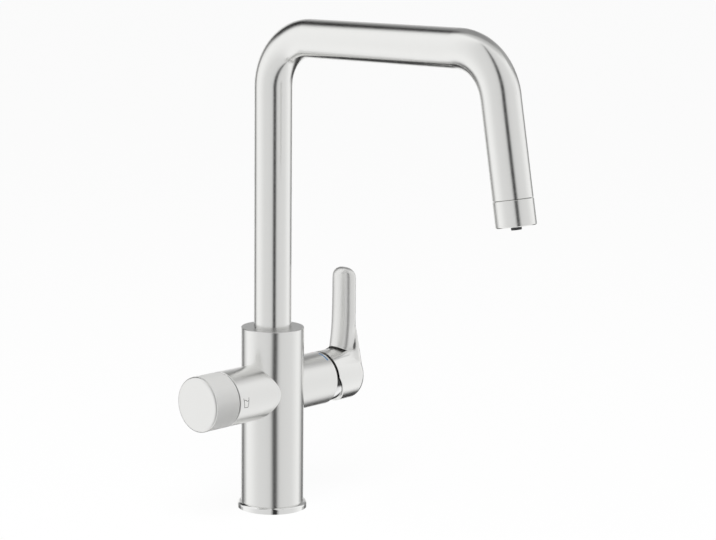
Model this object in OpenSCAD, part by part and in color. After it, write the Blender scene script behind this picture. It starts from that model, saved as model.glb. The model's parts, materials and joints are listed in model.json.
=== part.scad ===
// Kitchen mixer tap with a separate filtered-water way.
// A round body carries a U-shaped swivel spout on top, a single mixing lever on
// its right barrel and a quarter-turn knob for filtered water on its left barrel.
// Origin: centre of the mounting hole, on the deck that the base stands on.
// +Z points up, the spout reaches towards -Y, the mixing lever is towards +X.

/* [Body] */
// Diameter of the body column
body_d = 47; // [46:0.5:50]
// Height of the body above the deck
body_h = 137; // [135:0.5:150]
// Height of the axis that both handles share
handle_z = 90.2; // [86:0.2:91]
// Diameter of the barrel that holds the mixing cartridge
mixer_barrel_d = 40; // [39.6:0.1:42]
// Reach of the cartridge barrel from the body's axis
mixer_barrel_reach = 50.3; // [49:0.1:53]
// Diameter of the barrel that holds the filter valve
filter_barrel_d = 40.8; // [38:0.2:42]
// Reach of the filter barrel from the body's axis
filter_barrel_reach = 53.4; // [52:0.2:58]
// Small chamfer on the body's machined edges
edge_chamfer = 0.4; // [0.2:0.1:0.6]

/* [Base] */
// Diameter of the polished ring at the foot
base_ring_d = 52.2; // [51:0.2:56]
// Height of that ring
base_ring_h = 4.5; // [4:0.1:6]
// Thickness of the ring's floor, on which the body stands
base_floor_h = 2; // [1.6:0.1:2.4]
// Thickness of the rubber gasket under the ring
gasket_h = 1.2; // [0.8:0.1:1.4]
// Thread diameter of the hollow mounting shank
shank_d = 33; // [32:0.1:33.4]
// Length of the shank below the deck
shank_l = 48; // [35:1:60]
// Wall of the shank
shank_wall = 3; // [2.4:0.1:3.4]
// Depth to which the shank is screwed into the body
shank_grip = 12; // [8:0.5:12.5]
// Core diameter of the M10 ports for the supply hoses
hose_port_d = 9; // [8:0.1:9.4]
// Depth of the hose ports
hose_port_depth = 12; // [9:0.5:14]
// Diameter of the circle on which the hose ports lie
hose_port_pcd = 15; // [14.6:0.1:15.6]
// Height of the block that holds the hose ports
inlet_block_h = 19; // [16:0.5:20]
// Diameter of the cast waterways
waterway_d = 5.2; // [4:0.2:5.6]

/* [Spout] */
// Outer diameter of the spout tube
spout_d = 28; // [27.4:0.1:28.6]
// Wall of the spout tube
spout_wall = 1.5; // [1.2:0.1:1.8]
// Height of the centre line of the level run above the deck
spout_h = 352.5; // [320:0.5:400]
// Radius of both bends, at the centre line
bend_r = 37; // [32:0.5:42]
// Length of the straight level run
spout_run = 138; // [110:1:170]
// Angle by which the outlet leg leans away from the body
leg_lean = 10; // [4:0.5:14]
// Length of the outlet leg, down to the outlet's lower edge
leg_l = 86.4; // [75:0.2:110]
// Length of the collar at the outlet
collar_h = 18; // [16:0.5:20]
// Width of the seam between tube and collar
collar_seam = 0.4; // [0.3:0.1:0.6]
// Depth to which the tube sits in the body's top
tube_seat = 5; // [4:0.5:6]
// Length of the swivel stub below the tube's seat
stub_l = 21.6; // [21:0.2:22.4]
// Outer diameter of the inner tube for filtered water
filtered_tube_d = 8; // [7:0.1:8.4]
// Wall of the inner tube
filtered_tube_wall = 1; // [0.8:0.1:1.4]
// Diameter of the dark nozzle for filtered water
nozzle_d = 7.3; // [6.4:0.1:7.6]
// Length by which the nozzle stands out of the collar
nozzle_proud = 2.3; // [1:0.1:4]
// Swivel of the spout to either side
swivel_half = 75; // [45:5:80]

/* [Mixing lever] */
// Diameter of the lever's round cap
cap_d = 40; // [39.6:0.1:42]
// Distance of the cap's outer end from the body's axis
cap_reach = 82.4; // [82:0.2:86]
// Wall of the cap
cap_wall = 2.7; // [2.2:0.1:2.8]
// Gap between the barrel's end and the cap
cap_gap = 2.3; // [1.6:0.1:2.8]
// Rounding of the cap's outer edge
cap_round = 5; // [4:0.2:7]
// Height above the handle axis at which the cap's slanted cut begins
cut_above = 2.4; // [1:0.2:5]
// Slant of that cut, which makes room for the tilt
cut_slant = 29; // [26:0.5:30]
// Height of the arm's tip above the handle axis
arm_h = 80.4; // [70:0.2:95]
// Thickness of the arm, from its inner to its outer face
arm_t = 9.2; // [8.6:0.2:11]
// Width of the arm at its tip
arm_w = 19.4; // [17:0.2:21]
// Extra width of the arm at its foot
arm_spread = 1.6; // [1:0.2:4]
// Distance by which the arm's inner face sweeps in at its foot
foot_sweep = 5; // [2.5:0.1:5.5]
// Height by which the crease climbs from the cap to the arm's back edge
crease_climb = 21; // [16:0.5:26]
// Rounding of the arm's edges
arm_round = 3; // [2:0.1:3.6]
// Rounding of the arm's tip
tip_round = 4.2; // [3:0.1:4.4]
// Width of the shadow groove between arm and cap
foot_groove = 0.8; // [0.6:0.1:1]
// Tilt of the lever from closed to fully open
tilt_max = 20; // [16:0.5:20]

/* [Mixing cartridge] */
// Diameter of the cartridge
cartridge_d = 35; // [34.6:0.1:35.2]
// Length of the cartridge
cartridge_h = 33; // [32:0.2:34]
// Radius of the dome between barrel and cap, about the lever's pivot
dome_r = 18.8; // [18.4:0.1:19]
// Distance of the lever's pivot beyond the barrel's end
pivot_beyond = 6.7; // [6:0.1:7.5]
// Height of the clamping nut's thread
nut_h = 3.9; // [3.5:0.1:4.5]
// Thickness of the fixed ceramic disc
fixed_disc_h = 3.5; // [3:0.1:3.6]
// Thickness of the sliding ceramic disc
sliding_disc_h = 3.5; // [3:0.1:3.6]
// Diameter of the lever's pivot pin
pivot_d = 3; // [2.6:0.1:3.4]
// Distance from the pivot to the stem's ball
stem_throw = 14.5; // [14:0.1:14.8]

/* [Filter knob] */
// Diameter of the knob
knob_d = 40.8; // [38:0.2:42]
// Distance of the knob's end face from the body's axis
knob_reach = 78; // [76:0.5:84]
// Gap between the filter barrel and the knob
knob_gap = 0.6; // [0.4:0.1:1]
// Wall of the knob
knob_wall = 2.6; // [2:0.1:3.2]
// Rounding of the knob's outer edge
knob_round = 1.8; // [1.2:0.1:2.6]
// Thread diameter of the filter valve's headpart
headpart_d = 20.8; // [20:0.1:21]
// Diameter of the valve's spindle
spindle_d = 10; // [9:0.1:10.4]

/* [Hidden] */
$fn = 96;

// Clearances that the fits share
running_gap = 0.05;   // radial gap of a turning fit
seat_gap = 0.05;      // gap between pieces that are fixed to each other
free_gap = 0.3;       // gap between moving pieces that must not rub
eps = 0.01;           // overlap that keeps cuts clean
joint_lap = 1;        // how far the outlet leg reaches back into the wall of the bend
joint_step = 0.1;     // how much the leg's wall is thinner there, on either face

steel = [0.78, 0.78, 0.77];
bright = [0.86, 0.86, 0.86];
brass = [0.80, 0.66, 0.38];
ceramic = [0.93, 0.91, 0.86];
rubber = [0.12, 0.12, 0.13];
plastic_grey = [0.45, 0.47, 0.50];
plastic_white = [0.90, 0.90, 0.88];
dark = [0.20, 0.20, 0.21];

body_r = body_d / 2;
spout_r = spout_d / 2;
spout_in_r = spout_r - spout_wall;

// Mixing side, as distances from the body's axis
mixer_end = mixer_barrel_reach;
shell_end = mixer_end - seat_gap - nut_h;
shell_start = shell_end - cartridge_h;
seal_squeeze = 0.4;
cartridge_floor = shell_start - seal_squeeze;
cartridge_r = cartridge_d / 2;
cartridge_bore_r = cartridge_r + 0.2;
nut_r = cartridge_r + 0.6;
nut_in_r = 13.4;
nut_land_r = 15.2;
nut_land_h = 1.7;
nut_hex_h = 3;
shell_lip_h = 2;
shell_in_r = cartridge_r - 2.5;
shell_collar_r = nut_in_r - 0.2;
base_h = 4.6;
fixed_disc_at = shell_start + base_h;
sliding_disc_at = fixed_disc_at + fixed_disc_h + seat_gap;
carrier_at = sliding_disc_at + sliding_disc_h + seat_gap;
carrier_h = 5.5;
dowel_r = 1.2;         // pins that take the sliding disc along
dowel_y = 7.2;
pivot_x = mixer_end + pivot_beyond;
ball_x = pivot_x - stem_throw;
ball_r = 2.4;
pillar_r = 3.9;
pillar_room_r = pillar_r + free_gap;
pillar_out = ball_x + 1.2;
disc_travel = stem_throw * sin(tilt_max);
turret_r = shell_in_r - running_gap;
turret_neck_r = 10.4;
turret_at = carrier_at + carrier_h + 0.2;
turret_shoulder = shell_end - shell_lip_h - 0.1;
turret_out = pivot_x + 3.6;
disc_r = 9.8;
slot_w = 6.8;
slot_l = 2 * (disc_travel + ball_r + free_gap);
stem_r = 3.2;
stem_square = 6;
stem_square_at = pivot_x + 6.5;
grub_r = 2.45;
grub_l = 5.5;
grub_x = stem_square_at + grub_r + 3;
stem_out = grub_x + grub_r + 2;
hub_r = 4.6;
port_side = 5.6;      // hot and cold ports, to either side
port_rise = 4.7;      // and above the axis
port_r = 2;
mixed_drop = 3.4;     // mixed port, below the axis
mixed_r = 2.6;
dome_at = mixer_end + seat_gap;
dome_out = pivot_x + 8.5;
dome_wall = 1.6;
lever_boss_at = pivot_x + 8;
lever_boss_r = 7;
cap_r = cap_d / 2;
cap_in_r = cap_r - cap_wall;
cap_lip_r = dome_r + free_gap;
cap_step = pivot_x + 9;
cap_start = mixer_end + cap_gap;
cap_floor = cap_reach - 7.4;

// Filter side, as distances from the body's axis
filter_end = filter_barrel_reach;
headpart_r = headpart_d / 2;
hex_out = filter_end - 3.4;
hex_h = 6;
thread_l = 18;
hex_at = hex_out - hex_h;
headpart_start = hex_at - thread_l;
filter_floor = headpart_start - 3;
window_x = headpart_start + 8;
hex_room_r = 15.5;
neck_r = 7.5;
neck_out = filter_end + 2.6;
spindle_r = spindle_d / 2;
chamber_r = headpart_r - 2.2;
chamber_l = 10;
filter_disc_h = 3;
filter_fixed_at = headpart_start + seat_gap;
filter_turning_at = filter_fixed_at + filter_disc_h + seat_gap;
spindle_at = filter_turning_at + filter_disc_h + seat_gap;
spindle_flange_h = headpart_start + chamber_l - spindle_at - 0.2;
spline_r = spindle_r - 1;
spline_out = knob_reach - 12;
clip_at = neck_out + 0.4;
knob_r = knob_d / 2;
knob_start = filter_end + knob_gap;
knob_floor = knob_reach - 3.5;
adapter_r = 10;
adapter_at = clip_at + 1.8;
adapter_out = knob_floor - 0.5;
knob_grub_x = knob_reach - 14;

// Spout swivel
seat_z = body_h - tube_seat;
slide_ring_h = 0.55;
tube_foot = seat_z + slide_ring_h + seat_gap;
stub_r = spout_in_r - 0.3;
socket_r = stub_r + running_gap;
stub_foot = seat_z - stub_l;
socket_floor = stub_foot - 0.4;
stub_top = tube_foot + 14;
stop_z = seat_z - 6.5;
stop_tip_r = 2;
stop_screw_r = 2.45;
o_ring_r = 0.95;
stub_o_ring_z = [stub_foot + 2.6, stub_foot + 10.6, seat_z - 2.6];
mixed_groove_z = stub_foot + 6.6;
mixed_groove_h = 4;
mixed_way_x = -8;
mixed_way_y = 15;

// Spout centre line: up, over and down
riser_top = spout_h - bend_r;
far_y = -bend_r - spout_run;
leg_y = far_y - bend_r * cos(leg_lean);
leg_z = riser_top + bend_r * sin(leg_lean);
tube_end = leg_l - collar_h - collar_seam;
collar_at = leg_l - collar_h;
adapter_grip = 12;
adapter_thread_l = 8;
aerator_at = collar_at + 9;
aerator_h = 7.3;
filtered_r = filtered_tube_d / 2;
nozzle_r = nozzle_d / 2;

// Base
shank_r = shank_d / 2;
shank_in_r = shank_r - shank_wall;
spigot_r = shank_r - 0.3;
base_bore_r = shank_r + 0.4;
gasket_in_r = base_bore_r + 2;
gasket_out_r = base_ring_d / 2 - 1.8;
inlet_block_at = base_floor_h + shank_grip + 0.5;
inlet_block_top = inlet_block_at + inlet_block_h;
inlet_groove = 1.4;
inlet_r = spigot_r - seat_gap;
bottom_bore_r = spigot_r + seat_gap;
bottom_bore_top = inlet_block_top + 0.5;
port_angles = [60, -60, 180];   // hot, cold, filtered
way_r = waterway_d / 2;
narrow_way_r = way_r - 0.6;
inlet_seal_r = way_r + 1.6;
hot_x = hose_port_pcd / 2 * cos(60);
hot_y = hose_port_pcd / 2 * sin(60);

// Places a child, drawn upright, on the mixing side: its +Z points to +X
module mixer_axis(at = 0) translate([at, 0, handle_z]) rotate([0, 90, 0]) children();

// Places a child, drawn upright, on the filter side: its +Z points to -X
module filter_axis(at = 0) translate([-at, 0, handle_z]) rotate([0, -90, 0]) children();

// Places a child on the outlet leg, its +Z pointing down the leg
module on_leg(s) {
    translate([0, leg_y - s * sin(leg_lean), leg_z - s * cos(leg_lean)])
        rotate([180 - leg_lean, 0, 0]) children();
}

// Round bar between two heights
module rod(r, from, to) translate([0, 0, from]) cylinder(r = r, h = to - from);

// Tube between two heights
module pipe(r_out, r_in, from, to) {
    difference() {
        rod(r_out, from, to);
        rod(r_in, from - eps, to + eps);
    }
}

// Round bar with chamfered ends
module chamfered_rod(r, from, to, low, high) {
    rotate_extrude()
        polygon([[0, from], [r - low, from], [r, from + low], [r, to - high], [r - high, to], [0, to]]);
}

// Rubber ring with a round section
module o_ring(ring_r, at, section_r = o_ring_r) {
    translate([0, 0, at]) rotate_extrude() translate([ring_r, 0]) circle(r = section_r, $fn = 32);
}

// Round hole from one point straight to another
module way(a, b, r = way_r) {
    d = b - a;
    translate(a) rotate([0, acos(d[2] / norm(d)), atan2(d[1], d[0])]) cylinder(r = r, h = norm(d));
}

// Set screw, its tip at height 0, with a hexagon socket in the other end
module grub_screw(r, l, tip_r, tip_l, socket_d) {
    difference() {
        union() {
            rod(tip_r, 0, tip_l);
            rod(r, tip_l - eps, l);
        }
        translate([0, 0, l - socket_d]) cylinder(d = socket_d, h = socket_d + eps, $fn = 6);
    }
}

// Path of the spout with a ring-shaped section, from a foot height to a place on the leg
module spout_sweep(r_out, r_in, foot, leg_end) {
    module ring_section() difference() {
        circle(r = r_out);
        circle(r = r_in);
    }
    translate([0, 0, foot]) linear_extrude(riser_top - foot) ring_section();
    translate([0, -bend_r, riser_top]) rotate([90, 0, 90])
        rotate_extrude(angle = 90) translate([bend_r, 0]) ring_section();
    translate([0, -bend_r, spout_h]) rotate([90, 0, 0]) linear_extrude(spout_run) ring_section();
    translate([0, far_y, riser_top]) rotate([90, 0, 90]) rotate([0, 0, 90])
        rotate_extrude(angle = 90 - leg_lean) translate([bend_r, 0]) ring_section();
    on_leg(-joint_lap) pipe(r_out - joint_step, r_in + joint_step, 0, leg_end + joint_lap);
}

// Arc-shaped inlay beside the lever's seam, from one angle to another
mark_at = mixer_end - 3.6;
mark_w = 1.3;
mark_depth = 0.3;
mark_from = 9;
mark_to = 38;
module mark_arc(turn, r_in, r_out, grow) {
    mixer_axis(mark_at - grow) rotate([0, 0, turn - grow])
        rotate_extrude(angle = mark_to - mark_from + 2 * grow)
            translate([r_in, 0]) square([r_out - r_in, mark_w + 2 * grow]);
}
cold_turn = 180 + mark_from;
hot_turn = 180 - mark_to;

module body() {
    color(steel) difference() {
        union() {
            chamfered_rod(body_r, base_floor_h + seat_gap, body_h, edge_chamfer, edge_chamfer);
            mixer_axis() chamfered_rod(mixer_barrel_d / 2, 0, mixer_end, 0, edge_chamfer);
            filter_axis() chamfered_rod(filter_barrel_d / 2, 0, filter_end, 0, edge_chamfer);
        }
        // spout socket and the tube's seat
        rod(socket_r, socket_floor, body_h + eps);
        rod(spout_r + running_gap, seat_z, body_h + eps);
        // cartridge chamber with its nut thread
        mixer_axis() rod(cartridge_bore_r, cartridge_floor, mixer_end + eps);
        mixer_axis() rod(nut_r + seat_gap, shell_end, mixer_end + eps);
        // filter valve chamber, thread and room for the spanner
        filter_axis() rod(headpart_r + seat_gap, filter_floor, filter_end + eps);
        filter_axis() rod(hex_room_r, hex_at, filter_end + eps);
        // bottom bore for shank and inlet block
        rod(bottom_bore_r, 0, bottom_bore_top);
        // hot and cold ways from the inlet block to the cartridge
        for (side = [1, -1]) {
            way([hot_x, side * hot_y, bottom_bore_top - 1], [hot_x, side * hot_y, handle_z + port_rise]);
            way([hot_x, side * hot_y, handle_z + port_rise],
                [cartridge_floor + 1, side * port_side, handle_z + port_rise]);
        }
        // mixed water: out of the cartridge, to the back, up and into the socket
        way([cartridge_floor + 1, 0, handle_z - mixed_drop], [-way_r, 0, handle_z - mixed_drop]);
        way([0, 0, handle_z - mixed_drop], [mixed_way_x, mixed_way_y, handle_z + 3]);
        way([mixed_way_x, mixed_way_y, handle_z + 1], [mixed_way_x, mixed_way_y, mixed_groove_z]);
        way([mixed_way_x, mixed_way_y, mixed_groove_z],
            [mixed_way_x * 0.6, mixed_way_y * 0.6, mixed_groove_z], narrow_way_r);
        // filtered water: up to the valve and on into the socket
        way([-hose_port_pcd / 2, 0, bottom_bore_top - 1], [-hose_port_pcd / 2, 0, handle_z]);
        way([-hose_port_pcd / 2, 0, handle_z], [-filter_floor - 1, 0, handle_z]);
        way([-window_x, 0, handle_z + headpart_r - 0.5], [-6, 0, socket_floor + 1], narrow_way_r);
        // stop screw at the back
        translate([0, 0, stop_z]) rotate([-90, 0, 0]) rod(stop_screw_r + seat_gap, 0, body_r + 1);
        // grooves for the temperature marks
        mark_arc(cold_turn, mixer_barrel_d / 2 - mark_depth - seat_gap, mixer_barrel_d, 0.05);
        mark_arc(hot_turn, mixer_barrel_d / 2 - mark_depth - seat_gap, mixer_barrel_d, 0.05);
    }
}

module base_ring() {
    round_r = 2.2;
    ring_r = base_ring_d / 2;
    color(bright) difference() {
        rotate_extrude() {
            square([ring_r, base_ring_h - round_r]);
            square([ring_r - round_r, base_ring_h]);
            translate([ring_r - round_r, base_ring_h - round_r]) circle(r = round_r);
        }
        rod(base_bore_r, -1, base_ring_h + 1);
        rod(body_r + seat_gap, base_floor_h, base_ring_h + 1);
        pipe(gasket_out_r + seat_gap, gasket_in_r - seat_gap, -1, gasket_h + seat_gap);
    }
}

module base_gasket() color(rubber) pipe(gasket_out_r, gasket_in_r, 0, gasket_h);

module mounting_shank() {
    color(brass) difference() {
        union() {
            rotate_extrude() polygon([
                [0, -shank_l], [shank_r - 1, -shank_l], [shank_r, -shank_l + 1], [shank_r, 0], [0, 0]
            ]);
            rod(spigot_r, -eps, base_floor_h + shank_grip);
        }
        rod(shank_in_r, -shank_l - 1, base_floor_h + shank_grip + 1);
    }
}

module inlet_block() {
    color(brass) difference() {
        rod(inlet_r, inlet_block_at, inlet_block_top);
        for (a = port_angles) rotate([0, 0, a]) translate([hose_port_pcd / 2, 0, 0]) {
            rod(hose_port_d / 2, inlet_block_at - 1, inlet_block_at + hose_port_depth);
            rod(way_r, inlet_block_at, inlet_block_top + 1);
            pipe(inlet_seal_r + o_ring_r, inlet_seal_r - o_ring_r,
                 inlet_block_top - inlet_groove, inlet_block_top + 1);
        }
    }
}

module inlet_seals() {
    color(rubber) for (a = port_angles) rotate([0, 0, a]) translate([hose_port_pcd / 2, 0, 0])
        pipe(inlet_seal_r + o_ring_r - seat_gap, inlet_seal_r - o_ring_r + seat_gap,
             inlet_block_top - inlet_groove + seat_gap, bottom_bore_top - seat_gap);
}

module spout_stop_screw() {
    color(steel) translate([0, socket_r - 1.9, stop_z]) rotate([-90, 0, 0])
        grub_screw(stop_screw_r, body_r - 1.5 - (socket_r - 1.9), stop_tip_r, 2.1, 2.5);
}

module cold_mark() {
    color([0.12, 0.35, 0.75])
        mark_arc(cold_turn, mixer_barrel_d / 2 - mark_depth, mixer_barrel_d / 2 + 0.02, 0);
}

module hot_mark() {
    color([0.80, 0.12, 0.10])
        mark_arc(hot_turn, mixer_barrel_d / 2 - mark_depth, mixer_barrel_d / 2 + 0.02, 0);
}

module spout_tube() color(steel) spout_sweep(spout_r, spout_in_r, tube_foot, tube_end);

module filtered_water_tube() {
    color(plastic_white) spout_sweep(filtered_r, filtered_r - filtered_tube_wall, stub_foot + 3,
                                     tube_end + adapter_thread_l);
}

module spout_stub() {
    slot_half = swivel_half + asin(stop_tip_r / (stub_r - 1)) + 0.5;
    groove_from = mixed_groove_z - mixed_groove_h / 2;
    slot_depth = 2.4;
    color(brass) difference() {
        union() {
            rod(stub_r, stub_foot, tube_foot);
            rod(spout_in_r - seat_gap, tube_foot - eps, stub_top);
        }
        // middle way for the filtered-water tube
        rod(filtered_r + seat_gap, stub_foot - 1, stub_top + 1);
        // ways for mixed water, from the groove to the top
        for (a = [30:60:330]) rotate([0, 0, a]) translate([(stub_r + filtered_r) / 2 - 0.6, 0, 0])
            rod(1.8, mixed_groove_z, stub_top + 1);
        pipe(stub_r + 1, stub_r - 3.4, groove_from, groove_from + mixed_groove_h);
        for (z = stub_o_ring_z) pipe(stub_r + 1, stub_r - 2 * o_ring_r - seat_gap, z - 1.1, z + 1.1);
        // slot that the stop screw's tip runs in
        rotate([0, 0, 90 - slot_half]) rotate_extrude(angle = 2 * slot_half)
            translate([stub_r - slot_depth, stop_z - stop_tip_r - free_gap])
                square([slot_depth + 1.6, 2 * (stop_tip_r + free_gap)]);
    }
}

module stub_o_rings() {
    color(rubber) for (z = stub_o_ring_z)
        o_ring(stub_r - o_ring_r - seat_gap, z, o_ring_r - seat_gap);
}

module slide_ring() {
    color(plastic_white) pipe(spout_r - 0.2, socket_r + 0.1, seat_z, seat_z + slide_ring_h);
}

module outlet_adapter() {
    color(brass) on_leg(tube_end) difference() {
        union() {
            rod(spout_in_r - seat_gap, -adapter_grip, 0);
            rod(spout_in_r - 0.5, -eps, adapter_thread_l);
        }
        rod(filtered_r + seat_gap, -adapter_grip - 1, adapter_thread_l + 1);
        for (a = [0:60:300]) rotate([0, 0, a]) translate([(spout_in_r + filtered_r) / 2 - 0.4, 0, 0])
            rod(2, -adapter_grip - 1, adapter_thread_l + 1);
    }
}

module outlet_collar() {
    lip_h = 1.5;
    color(steel) on_leg(collar_at) difference() {
        chamfered_rod(spout_r, 0, collar_h, 0.3, 0.5);
        rod(spout_in_r - 0.45, -1, aerator_at - collar_at);
        rod(spout_in_r - 0.9, 0, collar_h - lip_h);
        rod(spout_in_r - 1.9, 0, collar_h + 1);
    }
}

module aerator_seal() {
    color(rubber) on_leg(tube_end + adapter_thread_l + seat_gap)
        pipe(spout_in_r - 1, spout_in_r - 3.6,
             0, aerator_at - tube_end - adapter_thread_l - 2 * seat_gap);
}

module aerator_insert() {
    color(plastic_grey) on_leg(aerator_at) difference() {
        union() {
            rod(spout_in_r - 0.95, 0, aerator_h);
            rod(spout_in_r - 2, 0, aerator_h + 0.8);
        }
        rod(nozzle_r + seat_gap, -1, aerator_h + 2);
        for (ring = [[6.2, 12], [8.6, 18]]) for (i = [0:ring[1] - 1])
            rotate([0, 0, i * 360 / ring[1]]) translate([ring[0], 0, 0]) rod(0.75, -1, aerator_h + 2);
    }
}

module filtered_nozzle() {
    head_at = tube_end + adapter_thread_l + seat_gap;
    color(dark) difference() {
        union() {
            on_leg(head_at) rod(nozzle_r + 1.6, 0, aerator_at - head_at - seat_gap);
            on_leg(head_at) chamfered_rod(nozzle_r, 0, leg_l + nozzle_proud - head_at, 0, 0.3);
        }
        on_leg(head_at) rod(nozzle_r - 1.4, -1, leg_l + nozzle_proud - head_at + 1);
    }
}

// Places a child on the hot, the cold and the mixed port, and gives it the port's radius
module each_port() {
    for (side = [1, -1]) translate([-port_rise, side * port_side, 0]) {
        $bore = port_r;
        children();
    }
    $bore = mixed_r;
    translate([mixed_drop, 0, 0]) children();
}

module cartridge_base() {
    color(plastic_grey) mixer_axis(shell_start) difference() {
        union() {
            rod(cartridge_r, 0, base_h - 1.2);
            rod(shell_in_r - seat_gap, 0, base_h);
        }
        each_port() {
            rod($bore, -1, base_h + 1);
            rod($bore + 1.5, -1, 1.1);
        }
    }
}

module cartridge_seals() {
    color(rubber) mixer_axis(cartridge_floor + seat_gap) each_port()
        pipe($bore + 1.4, $bore + 0.1, 0, seal_squeeze + 1);
}

module cartridge_shell() {
    color(plastic_white) mixer_axis(shell_start) difference() {
        union() {
            rod(cartridge_r, base_h - 1.2 + seat_gap, cartridge_h);
            rod(shell_collar_r, cartridge_h - eps, cartridge_h + nut_h - 0.6);
        }
        rod(shell_in_r, 0, cartridge_h - shell_lip_h);
        rod(turret_neck_r + running_gap, 0, cartridge_h + nut_h);
    }
}

module cartridge_nut() {
    color(brass) mixer_axis() difference() {
        union() {
            rod(nut_r, shell_end + seat_gap, mixer_end);
            rod(nut_land_r, mixer_end - eps, mixer_end + nut_land_h);
            translate([0, 0, mixer_end + nut_land_h - eps])
                cylinder(r = nut_land_r, h = nut_hex_h, $fn = 6);
        }
        rod(nut_in_r, shell_end - 1, mixer_end + nut_land_h + nut_hex_h + 1);
    }
}

module dome_ring() {
    color(bright) mixer_axis() difference() {
        intersection() {
            translate([0, 0, pivot_x]) sphere(r = dome_r);
            rod(dome_r + 1, dome_at, dome_out);
        }
        intersection() {
            translate([0, 0, pivot_x]) sphere(r = dome_r - dome_wall);
            rod(dome_r + 1, dome_at + nut_land_h, dome_out + 1);
        }
        rod(nut_land_r + seat_gap, dome_at - 1, dome_out + 1);
    }
}

module fixed_disc() {
    color(ceramic) mixer_axis(fixed_disc_at) difference() {
        rod(shell_in_r - seat_gap, 0, fixed_disc_h);
        each_port() rod($bore, -1, fixed_disc_h + 1);
    }
}

module sliding_disc() {
    color(ceramic) mixer_axis(sliding_disc_at) difference() {
        rod(disc_r, 0, sliding_disc_h);
        // hollow in which hot and cold meet, once the disc has slid up over their ports
        intersection() {
            rod(disc_r - 1.8, -1, sliding_disc_h / 2);
            translate([-2.4, -disc_r, -1]) cube([disc_r, 2 * disc_r, sliding_disc_h]);
        }
        for (side = [1, -1]) translate([0, side * dowel_y, 0])
            rod(dowel_r + 0.1, sliding_disc_h / 2 + 0.4, sliding_disc_h + 1);
    }
}

module disc_carrier() {
    color(plastic_grey) mixer_axis() difference() {
        union() {
            rod(disc_r, carrier_at, carrier_at + carrier_h);
            rod(pillar_r, carrier_at, pillar_out);
            for (side = [1, -1]) translate([0, side * dowel_y, 0])
                rod(dowel_r, carrier_at - 1, carrier_at + eps);
        }
        rod(ball_r + 0.12, ball_x - ball_r - 0.3, pillar_out + 1);
    }
}

module cartridge_turret() {
    color(plastic_grey) difference() {
        mixer_axis() union() {
            rod(turret_r, turret_at, turret_shoulder);
            rod(turret_neck_r, turret_shoulder - eps, turret_out);
        }
        // slot for the stem, with round ends
        mixer_axis(turret_at - 1) linear_extrude(turret_out - turret_at + 2) {
            square([slot_l - slot_w, slot_w], center = true);
            for (end = [1, -1]) translate([end * (slot_l - slot_w) / 2, 0]) circle(d = slot_w);
        }
        // room in which the carrier's pillar slides
        mixer_axis(turret_at - 1) linear_extrude(pillar_out + 0.4 - turret_at + 1) {
            translate([-disc_travel, -pillar_room_r]) square([disc_travel, 2 * pillar_room_r]);
            for (x = [0, -disc_travel]) translate([x, 0]) circle(r = pillar_room_r);
        }
        translate([pivot_x, 0, handle_z]) rotate([90, 0, 0])
            cylinder(d = pivot_d + 2 * seat_gap, h = 3 * turret_neck_r, center = true);
    }
}

module pivot_pin() {
    color(steel) translate([pivot_x, 0, handle_z]) rotate([90, 0, 0])
        cylinder(d = pivot_d, h = 2 * turret_neck_r - 1.5, center = true);
}

module lever_stem() {
    color(steel) difference() {
        union() {
            mixer_axis(ball_x) sphere(r = ball_r);
            mixer_axis() rod(1.7, ball_x, pivot_x);
            mixer_axis() rod(stem_r, pivot_x, stem_square_at);
            translate([pivot_x, 0, handle_z]) rotate([90, 0, 0])
                cylinder(r = hub_r, h = slot_w - 0.4, center = true);
            mixer_axis(stem_square_at - eps) translate([-stem_square / 2, -stem_square / 2, 0])
                cube([stem_square, stem_square, stem_out - stem_square_at]);
        }
        translate([pivot_x, 0, handle_z]) rotate([90, 0, 0])
            cylinder(d = pivot_d + 2 * running_gap, h = slot_w + 1, center = true);
    }
}

// Lever arm, drawn as level sections stacked up the Z axis.
// Its slim front part stands on the cap. Behind it the sides run out in straight lines
// that touch the round cap, and a sharp crease between the two climbs to the back edge.
arm_top = handle_z + arm_h;
arm_foot = handle_z + cap_r;
arm_back = cap_reach;
arm_front = arm_back - arm_t;
arm_half = arm_w / 2;
foot_half = arm_half + arm_spread / 2;
crease_low = handle_z + sqrt(cap_r * cap_r - foot_half * foot_half) + foot_groove;
crease_from = arm_front + 1.6;
crease_to = arm_back - 1;
flare_top = crease_low + crease_climb;
sink = 0.4;           // depth by which the arm's hidden root lies inside the cap

function clamp01(t) = min(max(t, 0), 1);
function below(r, d) = d <= 0 ? 0 : r - sqrt(max(r * r - d * d, 0));
function down(z) = clamp01((arm_top - z) / (arm_top - arm_foot));
function tip_inset(z) = below(tip_round, z - (arm_top - tip_round));
function front_x(z) = arm_front - foot_sweep * pow(down(z), 3.5) + tip_inset(z);
function back_x(z) = arm_back - tip_inset(z) - sink * clamp01((arm_foot - cap_round - z) / 2);
function bar_half(z) = arm_half + arm_spread / 2 * pow(down(z), 2) - tip_inset(z);
function bar_side(x, z) = bar_half(z) - below(arm_round, x - (back_x(z) - arm_round));
// radius of the cap at a distance from the body's axis
function cap_at(x) = cap_r - below(cap_round, x - (cap_reach - cap_round));
// height of the crease between arm and flare at a distance from the body's axis
function crease_z(x) =
    crease_low + crease_climb * clamp01((x - crease_from) / (crease_to - crease_from));
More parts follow.
